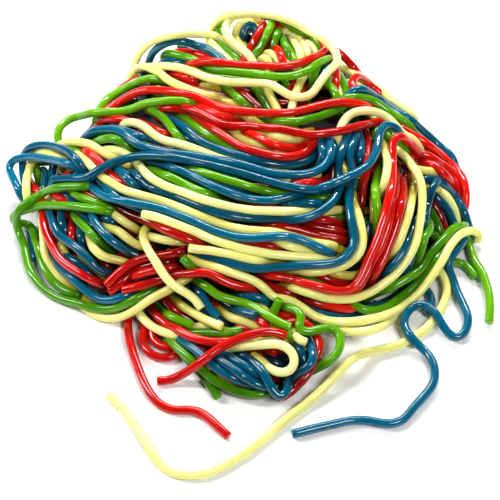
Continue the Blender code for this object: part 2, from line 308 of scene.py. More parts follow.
frontLump = [
    "b^ 58,180 70,179 84,179 94,174 104,168 117,162 131,158",
    "g> 158,330 172,344 188,358 202,374 212,388 218,397",
    "g 166,332 180,348 194,362 208,375 224,385 242,392 258,395 274,391",
    "y 204,366 220,376 236,384 252,388",
    "b 180,338 196,350 210,362 228,374 246,384 264,390",
    "b 206,352 220,362 236,372 252,382 268,388 276,380",
    "b 222,354 238,362 254,370 266,380",
    "r 150,322 144,332 143,343 149,353 160,358 172,357 180,350",
    "r> 128,312 128,330 131,346 136,362 143,380 151,395 161,405 174,410 190,410 203,414 215,424 228,436",
    "r 158,318 153,329 154,340 163,346 176,346",
    "r 160,292 168,304 178,314 192,320",
    "g 186,332 206,333 226,333 246,331",
    "y 186,330 198,328 212,326",
    "y 216,306 228,316 244,322 262,327 276,334",
    "y 236,286 240,298 246,308",
    "r 246,312 258,320 270,330 282,338",
    "b 228,300 246,294 262,298 276,310",
    "r 206,296 214,306 224,312",
    "r 276,316 290,314 302,320",
    "r 284,322 296,320 308,325 316,335 320,346 314,358",
    "b 280,330 290,338 300,350 304,362",
    "g 284,332 294,338 298,350",
    "r 306,372 296,384 286,396 278,400",
    "b 304,330 309,342 313,354 311,365 302,373 291,381 286,391 279,396",
    "y 254,340 268,341 280,342",
    "r 262,350 276,352 288,358",
    "b 258,354 274,362 290,364",
    "b 232,352 246,357 257,366 266,378 273,390 280,397 287,391 289,380 286,372",
    "y 220,350 240,347 260,345 277,344 289,349 295,360 291,370 281,373 270,369 260,360 248,353",
    "y> 291,329 295,336 299,341 306,343",
    "b> 194,280 199,291 205,302 212,312 218,317",
    "b> 218,303 232,308 245,312 258,315",
    "g> 158,298 166,310 178,319 192,325",
    "y 136,308 143,318 154,327 168,333 184,338",
    "r 146,302 156,315 169,328 185,336 203,341 222,343 240,341",
    "g> 196,278 206,286 219,296 236,301 252,306 263,314 275,321 290,328",
    "r< 108,286 118,274 130,265 146,259 164,256 180,252 192,246",
    "b 136,280 152,274 168,270",
    "r< 110,292 122,283 134,272 148,266 164,263 182,260",
    "r 122,284 136,276 152,270 168,268 184,268",
    "g< 183,258 189,264 195,272",
    "r< 123,290 140,286 156,281 172,276 190,272 206,271 216,275 226,282 241,287 256,290 270,289",
    "g< 279,300 275,309 271,318",
    "g 278,307 292,308 301,315 299,324 297,331 306,333 318,330 331,328 340,336 339,349 331,360 316,366",
    "r<> 285,336 276,332 262,332 248,336 232,343 216,351 201,362 188,371 173,379 158,381",
    "y> 168,288 176,298 186,307 199,316 210,322 222,328",
    "y> 154,226 146,229 144,238 149,250 157,263 165,276 175,286 187,293 196,299 203,307",
]
looseEnds = [
    "b 424,288 431,297 431,307 424,314 412,313",
    "g> 446,264 458,262 468,267 478,277",
    "g> 465,238 470,250 476,264 484,279 489,294 490,308 489,322",
    "y> 438,268 446,280 447,294 441,309 430,325 418,335 404,343 386,349 366,353 350,361 337,374 322,390",
    "    304,405 285,420 266,436 247,451 228,463 208,473 190,476 173,473 160,463 151,450 141,434 127,413",
    "    109,395",
    "b> 462,242 455,251 447,262 450,275 456,290 463,304 468,317 466,330 458,338 449,334 441,324 433,312",
    "    422,305 411,307 404,316 404,328 411,339 420,347 430,357 435,370 433,384 424,396 413,408 403,420",
    "    388,424 372,421 354,420 334,424 312,429 293,434",
]


def readRows(lines):
    # a word that opens with a letter starts a lace, and its points follow
    rows = []
    for word in " ".join(lines).split():
        if word[0].isalpha():
            rows.append((word, []))
        else:
            rows[-1][1].append([int(number) for number in word.split(",")])
    return rows


tracedLaces = readRows(topKnot + ridge + ringInside + topBand + upperLeft + ridgeOver + rightInside
                       + middleBand + frontSweep + rightSide + rightEdge + leftSide + frontLump + looseEnds)

# The camera, which is also the line of sight along which the laces are placed.
photoView = {
    "azimuth": 0,
    "elevation": 50,
    "distance": 800,
    "target": (4.5, -3, 0),
    "pictureSize": 500,
    "picturePoint": 0.53,    # one point of the picture, at the target
    "sensor": 36,
}


def makeView(azimuth, elevation):
    turn, tilt = math.radians(azimuth), math.radians(elevation)
    level = math.cos(tilt)
    back = np.array([math.sin(turn) * level, -math.cos(turn) * level, math.sin(tilt)])
    right = np.array([math.cos(turn), math.sin(turn), 0])
    target = np.array(photoView["target"], float)
    eye = target + back * photoView["distance"]
    return {"eye": eye, "back": back, "right": right, "above": np.cross(right, -back)}


def sightsThrough(view, spots):
    # directions from the eye through points of its picture
    middle = photoView["pictureSize"] / 2
    across = (spots[:, :1] - middle) * photoView["picturePoint"]
    up = (middle - spots[:, 1:]) * photoView["picturePoint"]
    aim = across * view["right"] + up * view["above"] - view["back"] * photoView["distance"]
    return aim / np.linalg.norm(aim, axis=1, keepdims=True)


def spotsOf(view, places):
    # the points of its picture where places show
    arm = places - view["eye"]
    far = arm @ -view["back"] / photoView["distance"] * photoView["picturePoint"]
    middle = photoView["pictureSize"] / 2
    return np.stack([arm @ view["right"] / far + middle, middle - arm @ view["above"] / far], axis=1)


# The outside of the heap, as in the construction.
heap = {
    "centre": (4.5, 35),
    "height": 60,
    "reach": (114, 100, 104, 110, 105, 104, 116, 122, 106, 94, 102, 117),  # every 30 degrees from +X
    "roundness": 2.6,
    "steepness": 0.6,
    "lumpCentre": (12.5, -73),
    "lumpReach": (46, 32),
    "lumpHeight": 24,
    "joinSharpness": 3,
    "knotCentre": (10.5, 115),
    "knotReach": (40, 24),
    "knotRise": 12,
    "lumpiness": 2.5,
    "lumpSpacing": 42,
    "archGap": 22,           # a lace that bows over the far edge may stand this far off
    "heart": (4.5, 35, 15),  # hidden ends are turned in towards this place
    "searchFrom": 90,        # a sight is followed down from this height, in these steps
    "searchStep": 0.5,
}


def moundReach(direction):
    # how far the mound reaches in a direction, eased between its named reaches
    reach = np.array(heap["reach"], float)
    place = direction / (2 * math.pi) * len(reach)
    first = np.floor(place).astype(int)
    ease = place - first
    ease = ease * ease * (3 - 2 * ease)
    here = reach[first % len(reach)]
    after = reach[(first + 1) % len(reach)]
    return here + (after - here) * ease


def dome(share):
    return np.maximum(0, 1 - share ** heap["roundness"]) ** heap["steepness"]


def ovalShare(x, y, centre, reach):
    return np.hypot((x - centre[0]) / reach[0], (y - centre[1]) / reach[1])


def heapHeight(x, y):
    armX, armY = x - heap["centre"][0], y - heap["centre"][1]
    mound = heap["height"] * dome(np.hypot(armX, armY) / moundReach(np.arctan2(armY, armX)))
    lump = heap["lumpHeight"] * dome(ovalShare(x, y, heap["lumpCentre"], heap["lumpReach"]))
    sharp = heap["joinSharpness"]
    height = (mound ** sharp + lump ** sharp) ** (1 / sharp)
    fade = np.minimum(1, height / heap["lumpHeight"])
    knot = np.maximum(0, 1 - ovalShare(x, y, heap["knotCentre"], heap["knotReach"]) ** 2)
    wave = 2 * math.pi / heap["lumpSpacing"]
    lumpy = heap["lumpiness"] * np.sin(wave * x) * np.sin(wave * y)
    return height + (heap["knotRise"] * knot + lumpy) * fade


def surfaceDepth(view, spots, arches=True):
    # how far along each sight the outermost laces lie, and how far the table
    sight = sightsThrough(view, spots)
    depth = (view["eye"][2] - heap["searchFrom"]) / -sight[:, 2]
    table = (view["eye"][2] - lace["tableRest"]) / -sight[:, 2]
    found = np.full(len(spots), np.nan)
    arch = np.full(len(spots), np.nan)
    least = np.full(len(spots), float(heap["archGap"]))
    for _ in range(math.ceil((table - depth).max() / heap["searchStep"])):
        place = view["eye"] + sight * depth[:, None]
        height = heapHeight(place[:, 0], place[:, 1])
        gap = place[:, 2] - np.maximum(height - lace["radius"], lace["tableRest"])
        before = np.isnan(found) & (depth < table)
        found[before & (gap <= 0)] = depth[before & (gap <= 0)]
        near = before & (gap > 0) & (gap < least) & (height > lace["tableRest"])
        least[near] = gap[near]
        arch[near] = depth[near]
        depth = depth + heap["searchStep"]
    if arches:
        found = np.where(np.isnan(found), arch, found)
    return np.where(np.isnan(found), table, found), table


def runAlong(places):
    return np.concatenate([[0], np.cumsum(np.linalg.norm(np.diff(places, axis=0), axis=1))])


def evenSteps(places, step, facts=(), least=3):
    # even steps along a curve, with the facts known along it beside them
    run = runAlong(places)
    even = np.linspace(0, run[-1], max(least, round(run[-1] / step) + 1))
    return np.stack([np.interp(even, run, column) for column in [*places.T, *facts]], axis=1)


def smoothCurve(points, step):
    # even steps along a smooth curve through the points
    points = np.array(points, float)
    ends = np.vstack([2 * points[0] - points[1], points, 2 * points[-1] - points[-2]])
    fine = []
    for before, start, end, after in zip(ends, ends[1:], ends[2:], ends[3:]):
        count = max(4, round(np.linalg.norm(end - start) / step * 4))
        t = np.arange(count)[:, None] / count
        slope = (end - before) * t
        bend = (2 * before - 5 * start + 4 * end - after) * t ** 2
        turn = (3 * start - before - 3 * end + after) * t ** 3
        fine.append(start + (slope + bend + turn) / 2)
    fine.append(points[-1:])
    return evenSteps(np.vstack(fine), step)


def softened(values, reach):
    # a moving average along a lace, with its ends held
    if len(values) < 3:
        return values
    weights = np.exp(-0.5 * (np.arange(-2 * reach, 2 * reach + 1) / reach) ** 2)
    weights /= weights.sum()
    padded = np.concatenate([np.repeat(values[:1], 2 * reach), values, np.repeat(values[-1:], 2 * reach)])
    return np.convolve(padded, weights, mode="valid")


def bendOver(values, run, bend):
    # the lowest curve of a limited bend that stays over the values
    return (values[None, :] - bend * (run[:, None] - run[None, :]) ** 2).max(axis=1)


def turned(way, angle):
    cosine, sine = math.cos(angle), math.sin(angle)
    return np.array([way[0] * cosine - way[1] * sine, way[0] * sine + way[1] * cosine])


def longestRun(wanted):
    best = slice(0, 0)
    start = None
    for index, value in enumerate([*wanted, False]):
        if value and start is None:
            start = index
        if not value and start is not None:
            if index - start > best.stop - best.start:
                best = slice(start, index)
            start = None
    return best


# How the laces lie over each other.
lay = {
    "spotStep": 3,           # picture points between two places that are worked out
    "crossReach": 1.25,      # closer than this many radii they cross, further they lie side by side
    "drapeBend": 0.05,       # how tightly a lace bends down off the heap, per mm
    "sinkBend": 0.02,        # how tightly it bends down under another
    "deepLace": 5,           # how much deeper a lace marked "_" lies
    "sameLace": 4,           # a raised stretch runs this close to the lace that it names
    "leastRoom": 0.8,
    "mostSunk": 20,          # no lace is pressed much deeper than this into the heap
    "skin": 8,               # how far below the outside a lace still counts as in the way
    "ownSteps": 8,           # a lace doesn't cross itself within this many places
    "ownClear": 5,
    "deepEase": 0.2,         # how easily a lace is pushed aside, for each mm that it lies deeper
    "hiddenEase": 0.6,
    "jitter": 0.8,
    "seed": 3,
}

# How a lace goes on where it goes out of sight.
hidden = {
    "run": 8,                # it goes on this far under what covers it
    "dive": 8,               # and goes down this far
    "bend": 0.1,
    "turns": (0, -25, 25, -50, 50, -80, 80, -110, 110),
    "shares": (1, 0.7, 0.45),      # of the run, tried one after another
    "turnCost": 60,          # degrees of turn that weigh as much as one bare test
    "shortCost": 1.2,        # bare tests that leaving out the run would weigh
    "nearTests": (0.5, 1),   # where along its first and second half the cover is tested
    "farTests": (0.5, 1, 1.6),
    "reach": 12,             # picture points at an end that goes under what lies past it
    "reachShare": 0.3,
    "pastTests": (1.1, 1.5, 1.9),  # radii past the end where that is looked up, and beside its way
    "sideTests": (-0.7, 0, 0.7),
    "coverGap": 1.2,         # a lace covers what lies within its own width less this rim
    "mostInwards": 14,
    "offTable": 1,
    "bareShare": 0.08,       # an end is cut where more than this comes out of sight again
    "slack": 3,
    "leastPlaces": 4,
}

# A map of the picture, with room around it for laces that run out of it.
mapMargin = 60
mapEdge = 8
mapSize = photoView["pictureSize"] + 2 * mapMargin


def gapNeeded(apart):
    # how far one lace lies over another, by how far apart they are in the picture
    return 2 * lace["radius"] * np.maximum(0, 1 - (apart / (lay["crossReach"] * lace["radius"])) ** 2)


def stampOffsets():
    reach = math.ceil(lay["crossReach"] * lace["radius"] / photoView["picturePoint"])
    grid = np.mgrid[-reach:reach + 1, -reach:reach + 1].reshape(2, -1).T
    gap = gapNeeded(np.linalg.norm(grid, axis=1) * photoView["picturePoint"])
    return grid[gap > 0], gap[gap > 0]


stampGrid, stampGap = stampOffsets()


def cellsOf(spots):
    return np.clip(np.round(spots).astype(int) + mapMargin, mapEdge, mapSize - 1 - mapEdge)


def valuesAt(picture, cells):
    return picture[cells[..., 0], cells[..., 1]]


def stampedCells(cells, grid=stampGrid):
    stamped = cells[:, None, :] + grid[None, :, :]
    return stamped[..., 0], stamped[..., 1]


def rankAtEnd(end, way, cover, rank):
    # where a lace goes out of sight, it goes under whatever lies right past its end
    way = way / np.linalg.norm(way)
    radius = lace["radius"] / photoView["picturePoint"]
    tests = [end + way * radius * along + turned(way, math.pi / 2) * radius * side
             for along in hidden["pastTests"] for side in hidden["sideTests"]]
    past = valuesAt(cover, cellsOf(np.vstack(tests)))
    past = past[(past >= 0) & (past < rank)]
    return past.min() - 0.5 if len(past) else rank  # half a rank under the lowest of them


def hiddenEnd(end, way, cover, rank):
    # the way on, turned to where laces that lie higher cover it best
    way = way / np.linalg.norm(way)
    best, least = None, math.inf
    for turn in hidden["turns"] if cover is not None else (0,):
        for share in hidden["shares"]:
            run = hidden["run"] / photoView["picturePoint"] * share
            middle = end + turned(way, math.radians(turn / 2)) * run / 2
            tip = middle + turned(way, math.radians(turn)) * run / 2
            bare = 0
            if cover is not None:
                tests = [end + (middle - end) * along for along in hidden["nearTests"]]
                tests += [middle + (tip - middle) * along for along in hidden["farTests"]]
                over = valuesAt(cover, cellsOf(np.vstack(tests)))
                bare = (over <= rank).sum() + 2 * (over < 0).sum()
            cost = bare + abs(turn) / hidden["turnCost"] + (1 - share) * hidden["shortCost"]
            if cost < least:
                best, least = np.vstack([middle, tip]), cost
    return best


def makeLace(colour, spots, freeStart=True, freeEnd=True, extraDepth=0, cover=None, rank=0, heart=False):
    # goes on under what covers it, where an end isn't free
    spots = np.array(spots, float)
    first, last = 0, 0
    startRank, endRank = rank, rank
    if cover is not None and rank >= 0:
        startRank = rank if freeStart else rankAtEnd(spots[0], spots[0] - spots[1], cover, rank)
        endRank = rank if freeEnd else rankAtEnd(spots[-1], spots[-1] - spots[-2], cover, rank)
    if not freeStart:
        added = hiddenEnd(spots[0], spots[0] - spots[1], cover, startRank)
        spots = np.vstack([added[::-1], spots])
        first = runAlong(spots[:len(added) + 1])[-1]
    if not freeEnd:
        added = hiddenEnd(spots[-1], spots[-1] - spots[-2], cover, endRank)
        last = runAlong(np.vstack([spots[-1], added]))[-1]
        spots = np.vstack([spots, added])
    spots = smoothCurve(spots, lay["spotStep"])
    along = runAlong(spots)
    beyond = np.maximum(np.maximum(first - along, along - (along[-1] - last)), 0)
    ranks = np.full(len(spots), float(rank))
    reach = min(hidden["reach"], hidden["reachShare"] * (along[-1] - first - last))
    ranks[along < first + reach] = startRank
    ranks[along > along[-1] - last - reach] = endRank
    return {
        "colour": colour, "spots": spots, "beyond": beyond * photoView["picturePoint"],
        "extraDepth": extraDepth, "rank": ranks, "heart": heart, "leastDepth": 0,
    }


def raiseStretch(laces, colour, points, rank):
    # a stretch of a lace that is named already, where it lies over later ones
    stretch = smoothCurve(points, 1)
    best, chosen = None, np.zeros(1, bool)
    for one in laces:
        if one["colour"] == colour:
            apart = np.linalg.norm(one["spots"][:, None] - stretch[None, :], axis=2).min(axis=1)
            near = apart < lay["sameLace"]
            if near.sum() > chosen.sum():
                best, chosen = one, near
    if best is None:
        print("no lace for the stretch", colour, points[0])
    else:
        best["rank"][chosen & (best["beyond"] == 0)] = rank


def readTraced():
    # in the order that they lie, the lowest first, and a map of which lies topmost where
    cover = np.full((mapSize, mapSize), -1)
    grid = stampGrid[stampGap > hidden["coverGap"]]
    for rank, (_, points) in enumerate(tracedLaces):
        np.maximum.at(cover, stampedCells(cellsOf(smoothCurve(points, 1)), grid), rank)
    laces = []
    for rank, (mark, points) in enumerate(tracedLaces):
        if "^" in mark:
            raiseStretch(laces, mark[0], points, rank)
        else:
            deeper = lay["deepLace"] if "_" in mark else 0
            laces.append(makeLace(mark[0], points, "<" in mark, ">" in mark, deeper, cover, rank))
    print("traced laces:", len(laces))
    return laces, cover


def coveredShare(cover, reach):
    # how much of the square around each cell the traced laces cover
    rim = (reach + 1, reach)
    sums = np.pad((cover >= 0).astype(float), (rim, rim)).cumsum(axis=0).cumsum(axis=1)
    width = 2 * reach + 1
    total = sums[width:, width:] - sums[:-width, width:] - sums[width:, :-width] + sums[:-width, :-width]
    return total / width ** 2


# Laces under the ones that show, seen only in the gaps between them.
fillers = {
    "count": 110,
    "shift": (7, 17),
    "slide": 25,
    "depth": 6,
    "leastHeight": 14,
    "look": 9,               # the traced laces must cover this many picture points around
    "leastCover": 0.86,
    "longEnough": 24,        # places in a lace that is worth copying
    "thin": 6,               # every sixth of them is kept
    "leastKept": 4,
    "lowestRank": -1000,
    "seed": 11,
}


def makeFillers(traced, cover, view):
    # copies of the ways that the laces run, a little aside and a layer down
    rng = random.Random(fillers["seed"])
    around = coveredShare(cover, fillers["look"])
    long = [one for one in traced if len(one["spots"]) > fillers["longEnough"]]
    made = []
    while len(made) < fillers["count"]:
        spots = rng.choice(long)["spots"]
        way = spots[-1] - spots[0]
        way = way / max(np.linalg.norm(way), 1)
        aside = rng.choice((-1, 1)) * rng.uniform(*fillers["shift"])
        slide = rng.uniform(-fillers["slide"], fillers["slide"])
        moved = spots + np.array([-way[1], way[0]]) * aside + way * slide
        covered = valuesAt(around, cellsOf(moved)) > fillers["leastCover"]
        if len(moved[longestRun(covered)][::fillers["thin"]]) < fillers["leastKept"]:
            continue
        places = view["eye"] + sightsThrough(view, moved) * surfaceDepth(view, moved)[0][:, None]
        onHeap = heapHeight(places[:, 0], places[:, 1]) > fillers["leastHeight"]
        kept = moved[longestRun(onHeap & covered)][::fillers["thin"]]
        if len(kept) >= fillers["leastKept"]:
            rank = len(made) + fillers["lowestRank"]
            made.append(makeLace(rng.choice("rrbbggyy"), kept, False, False, fillers["depth"], cover, rank))
    print("laces under them:", len(made))
    return made


# Rows of laces round the far side, where the camera can't see them.
farSide = {
    "azimuth": 180,
    "elevation": 32,
    "directions": (2, 178),
    "layers": 2,
    "layerDepth": 4.4,
    "rows": 13,
    "crowding": 1.8,         # above 1 the rows lie closer towards the table
    "turn": (60, 130),       # degrees round the heap
    "startBefore": 60,       # how many degrees before the first direction a row may start
    "leastTurn": 20,
    "places": 40,
    "leastPlaces": 6,
    "shares": (0.66, 0.985), # of the way out from the middle
    "drift": 0.25,
    "wave": 0.05,
    "waveTurn": 46,
    "drop": 1,
    "edge": 1,
    "behind": 2.5,           # how far behind the outside of the heap counts as out of sight
    "under": 12,             # and how far under it, for laces on the camera's side
    "look": 6,
    "leastCover": 0.95,
    "soften": 4,
    "seed": 5,
}


def placesRound(directions, share, front, around):
    # where a lace lies that goes round the heap, low enough to be out of the camera's sight
    far = moundReach(np.radians(directions)) * share
    x = heap["centre"][0] + far * np.cos(np.radians(directions))
    y = heap["centre"][1] + far * np.sin(np.radians(directions))
    height = np.maximum(heapHeight(x, y) - lace["radius"], lace["tableRest"])
    places = np.stack([x, y, height], axis=1)
    seen = np.ones(len(places), bool)
    behind = None
    while seen.any():
        spots = spotsOf(front, places)
        depth = np.linalg.norm(places - front["eye"], axis=1)
        seenDepth = surfaceDepth(front, spots, arches=False)[0]
        if behind is None:
            behind = np.where(depth > seenDepth + farSide["edge"], farSide["behind"], farSide["under"])
        seen = depth < seenDepth + behind
        seen |= valuesAt(around, cellsOf(spots)) < farSide["leastCover"]
        if not (seen & (places[:, 2] > lace["tableRest"])).any():
            break
        lowered = np.maximum(places[:, 2] - farSide["drop"], lace["tableRest"])
        places[:, 2] = np.where(seen, lowered, places[:, 2])
    return places, ~seen


def drawRows(rng):
    # colour, layer, directions and shares of the way out of each lace
    first, last = farSide["directions"]
    inner, outer = farSide["shares"]
    drawn = []
    for layer in range(farSide["layers"]):
        for row in range(farSide["rows"]):
            end = first - rng.uniform(0, farSide["startBefore"])
            while end < last - farSide["leastTurn"]:
                colour = rng.choice("rbgy")
                start, end = end, end + rng.uniform(*farSide["turn"])
                along = np.linspace(0, 1, farSide["places"])
                here = start + (end - start) * along
                level = (row + 0.5) / farSide["rows"] + rng.uniform(-0.5, 0.5) * farSide["drift"]
                level = level + rng.uniform(-1, 1) * farSide["drift"] * (along - 0.5)
                phase = rng.uniform(0, 6)
                level = level + farSide["wave"] * np.sin(phase + 2 * math.pi * here / farSide["waveTurn"])
                inwards = np.clip(level, 0, 1) ** farSide["crowding"]
                drawn.append((colour, layer, here, outer - (outer - inner) * inwards))
    return drawn


def makeFarLaces(view, front, cover):
    rng = random.Random(farSide["seed"])
    drawn = drawRows(rng)
    directions = np.concatenate([row[2] for row in drawn])
    shares = np.concatenate([row[3] for row in drawn])
    found = placesRound(directions, shares, front, coveredShare(cover, farSide["look"]))
    first, last = farSide["directions"]
    made = []
    parts = (np.split(one, len(drawn)) for one in found)
    for (colour, layer, here, _), places, unseen in zip(drawn, *parts):
        kept = longestRun(unseen & (here > first) & (here < last))
        if kept.stop - kept.start >= farSide["leastPlaces"]:
            places = places[kept]
            depth = np.linalg.norm(places - view["eye"], axis=1)
            made.append((colour, spotsOf(view, places), depth, layer))
    rng.shuffle(made)
    made.sort(key=lambda row: -row[3])
    laces = []
    for rank, (colour, spots, depth, layer) in enumerate(made):
        deeper = layer * farSide["layerDepth"]
        one = makeLace(colour, spots[::2], False, False, deeper, rank=rank, heart=True)
        nearest = np.linalg.norm(one["spots"][:, None] - spots[None, :], axis=2).argmin(axis=1)
        one["leastDepth"] = softened(depth[nearest], farSide["soften"])
        laces.append(one)
    print("laces round the far side:", len(laces))
    return laces


def findDepths(laces, view):
    # each lace on the outside of the heap, hanging smoothly off its edges
    parts = np.cumsum([len(one["spots"]) for one in laces])[:-1]
    found, table = surfaceDepth(view, np.vstack([one["spots"] for one in laces]))
    rng = random.Random(lay["seed"])
    for one, depth, onTable in zip(laces, np.split(found, parts), np.split(table, parts)):
        one["run"] = runAlong(one["spots"]) * photoView["picturePoint"]
        one["table"] = onTable
        depth = softened(-bendOver(-depth, one["run"], lay["drapeBend"]), 2)
        one["outside"] = np.maximum(depth, one["leastDepth"])
        depth = one["outside"] + one["extraDepth"] + rng.uniform(0, lay["jitter"])
        one["depth"] = np.minimum(depth, onTable)


def overItself(one):
    # where a lace crosses itself, its earlier part goes under its later part
    spots = one["spots"]
    apart = np.linalg.norm(spots[:, None] - spots[None, :], axis=2) * photoView["picturePoint"]
    order = np.arange(len(spots))
    later = order[None, :] > order[:, None] + lay["ownSteps"]
    under = one["depth"][None, :] + gapNeeded(apart) - one["depth"][:, None]
    return np.where(later & (gapNeeded(apart) > 0), under, 0).max(axis=1)


def pressUnder(laces, ceiling):
    # from the topmost stretch down: each goes under those that already lie over it
    stretches = [(rank, index) for index, one in enumerate(laces) for rank in set(one["rank"])]
    for rank, index in sorted(stretches, reverse=True):
        one = laces[index]
        cells = cellsOf(one["spots"])
        seen = (one["beyond"] == 0) & (one["rank"] == rank)
        done = (one["beyond"] == 0) & (one["rank"] > rank)
        sink = np.maximum(valuesAt(ceiling, cells) - one["depth"], overItself(one))
        sink = np.where(seen, np.maximum(sink, 0), 0)
        if done.any():
            apart = np.abs(one["run"][:, None] - one["run"][done][None, :]).min(axis=1)
            sink[apart < lay["ownClear"]] = 0
        one["depth"] = one["depth"] + softened(bendOver(sink, one["run"], lay["sinkBend"]), 1)
        values = one["depth"][seen][:, None] + stampGap[None, :]
        np.maximum.at(ceiling, stampedCells(cells[seen]), values)
    # what isn't seen of a lace goes under everything there
    for one in laces:
        if one["heart"]:
            continue
        dive = hidden["dive"] * one["beyond"] / hidden["run"]
        under = valuesAt(ceiling, cellsOf(one["spots"])) + dive - one["depth"]
        clear = lay["crossReach"] * lace["radius"]
        sink = np.where(one["beyond"] > clear, np.maximum(under, 0), 0)
        sink = np.maximum(sink, dive)
        one["depth"] = one["depth"] + softened(bendOver(sink, one["run"], hidden["bend"]), 1)


def ceilingUnder(others, view):
    # how deep a lace has to lie in each cell to go under the laces placed already
    ceiling = np.full((mapSize, mapSize), -1e9)
    if others:
        taken = np.vstack([one["places"] for one in others])
        spots = spotsOf(view, taken)
        depth = np.linalg.norm(taken - view["eye"], axis=1)
        facing = depth < surfaceDepth(view, spots)[0] + lay["skin"]
        values = depth[facing][:, None] + stampGap[None, :]
        np.maximum.at(ceiling, stampedCells(cellsOf(spots[facing])), values)
    return ceiling


def placeLaces(laces, view, others=()):
    findDepths(laces, view)
    pressUnder(laces, ceilingUnder(others, view))
    for one in laces:
        # the table stops them: what lies deepest is squeezed most
        room = np.maximum(one["table"] - one["outside"], lay["leastRoom"])
        sunk = np.maximum(one["depth"] - one["outside"], 0)
        sunk = lay["mostSunk"] * (1 - np.exp(-sunk / lay["mostSunk"]))
        one["depth"] = one["outside"] + room * (1 - np.exp(-sunk / room))
        places = view["eye"] + sightsThrough(view, one["spots"]) * one["depth"][:, None]
        inwards = np.array(heap["heart"]) - places
        inwards /= np.linalg.norm(inwards, axis=1, keepdims=True)
        if one["heart"]:
            places = places + inwards * (hidden["dive"] * one["beyond"] / hidden["run"])[:, None]
        # what is hidden doesn't hang out of the far side of the heap
        for _ in range(hidden["mostInwards"]):
            outside = places[:, 2] > heapHeight(places[:, 0], places[:, 1]) - lace["radius"]
            outside &= places[:, 2] > lace["tableRest"] + hidden["offTable"]
            places = places + inwards * (outside & (one["beyond"] > lace["radius"]))[:, None]
        facts = (one["beyond"], one["depth"] - one["outside"], one["rank"])
        even = evenSteps(places, lace["step"], facts, least=4)
        beyond, deeper, ranks = even[:, 3:].T
        one["places"] = even[:, :3]
        one["hidden"] = beyond > 0
        one["placeRank"] = np.round(ranks)
        one["ease"] = 1 + lay["deepEase"] * np.maximum(deeper, 0) + lay["hiddenEase"] * beyond
        one["back"] = view["back"]
    print("laces placed:", len(laces))


# How laces that run into each other are pushed apart.
settling = {
    "rounds": 60,
    "quickRounds": 12,
    "pairsEvery": 6,         # rounds after which the close pairs are looked for again
    "pairMargin": 1.5,
    "neighbours": 5,         # places along one lace that may be close
    "crossing": 1.2,         # in radii: nearer than this in the picture, the order of the laces counts
    "sameSide": 0.99,        # laces placed from the same side agree on what is over what
    "mostPush": 1.5,
    "pushOn": 1.3,
    "smoothing": (0.25, 0.5, 0.25),
    "holdDeep": 0.995,       # share of a move that lasts, along the sight and aside
    "holdAside": 0.95,
    "boxMargin": 0.2,
    "tooClose": 0.1,
    "reportEvery": 10,
}


def nearPairs(places, owner, number, reach):
    # pairs of places closer than the reach, apart from neighbours along one lace
    tree = kdtree.KDTree(len(places))
    for index, place in enumerate(places):
        tree.insert(place, index)
    tree.balance()
    pairs = []
    for index, place in enumerate(places):
        pairs += [(index, other) for _, other, _ in tree.find_range(place, reach) if other > index]
    first, second = np.array(pairs).T
    apart = np.abs(number[first] - number[second]) > settling["neighbours"]
    apart |= owner[first] != owner[second]
    return first[apart], second[apart]


def settle(laces, rounds):
    # pushes laces that run into each other apart, while each keeps its smooth way
    counts = np.array([len(one["places"]) for one in laces])
    rest = np.vstack([one["places"] for one in laces])
    owner = np.repeat(np.arange(len(laces)), counts)
    number = np.concatenate([np.arange(count) for count in counts])
    back = np.repeat(np.array([one["back"] for one in laces]), counts, axis=0)
    ease = np.concatenate([one["ease"] for one in laces])
    unseen = np.concatenate([one["hidden"] for one in laces])
    rank = np.concatenate([one["placeRank"] for one in laces])
    places = rest.copy()
    inner = (owner[1:-1] == owner[:-2]) & (owner[1:-1] == owner[2:])
    low = np.array(cadLow) / millimetre + lace["radius"] + settling["boxMargin"]
    high = np.array(cadHigh) / millimetre - lace["radius"] - settling["boxMargin"]
    low[2] = lace["tableRest"]
    width = 2 * lace["radius"]
    before, middle, after = settling["smoothing"]
    for turn in range(rounds):
        if turn % settling["pairsEvery"] == 0:
            first, second = nearPairs(places, owner, number, width + settling["pairMargin"])
            alike = (back[first] * back[second]).sum(axis=1) > settling["sameSide"]
            level = rank[first] == rank[second]
            over = np.where(level, number[first] > number[second], rank[first] > rank[second])
            over = np.where(unseen[first] != unseen[second], unseen[second], over)
            sign = np.where(over, 1.0, -1.0)
            ordered = alike & ~(unseen[first] & unseen[second])
        apart = places[first] - places[second]
        far = np.maximum(np.linalg.norm(apart, axis=1), 1e-6)
        deep = (apart * back[first]).sum(axis=1)
        aside = np.sqrt(np.maximum(far ** 2 - deep ** 2, 0))
        crossing = ordered & (aside < settling["crossing"] * lace["radius"])
        lack = np.sqrt(np.maximum(width ** 2 - aside ** 2, 0)) - sign * deep
        amount = np.where(crossing, np.clip(lack, 0, settling["mostPush"]), np.maximum(width - far, 0))
        way = np.where(crossing[:, None], back[first] * sign[:, None], apart / far[:, None])
        close = amount > 0
        a, b = first[close], second[close]
        push = way[close] * amount[close][:, None]
        share = (ease[a] / (ease[a] + ease[b]))[:, None]
        move = np.zeros_like(places)
        times = np.zeros(len(places))
        np.add.at(move, a, push * share)
        np.add.at(move, b, -push * (1 - share))
        np.add.at(times, a, 1)
        np.add.at(times, b, 1)
        places += move / np.maximum(times, 1)[:, None] * settling["pushOn"]
        shift = places - rest
        soft = shift.copy()
        soft[1:-1][inner] = (before * shift[:-2] + middle * shift[1:-1] + after * shift[2:])[inner]
        inwards = (soft * back).sum(axis=1, keepdims=True) * back
        soft = inwards * settling["holdDeep"] + (soft - inwards) * settling["holdAside"]
        places = np.clip(rest + soft, low, high)
        if (turn + 1) % settling["reportEvery"] == 0:
            print("round", turn + 1, "too close:", int((amount > settling["tooClose"] * width).sum()))
    for one, moved in zip(laces, np.split(places, np.cumsum(counts)[:-1])):
        one["places"] = moved


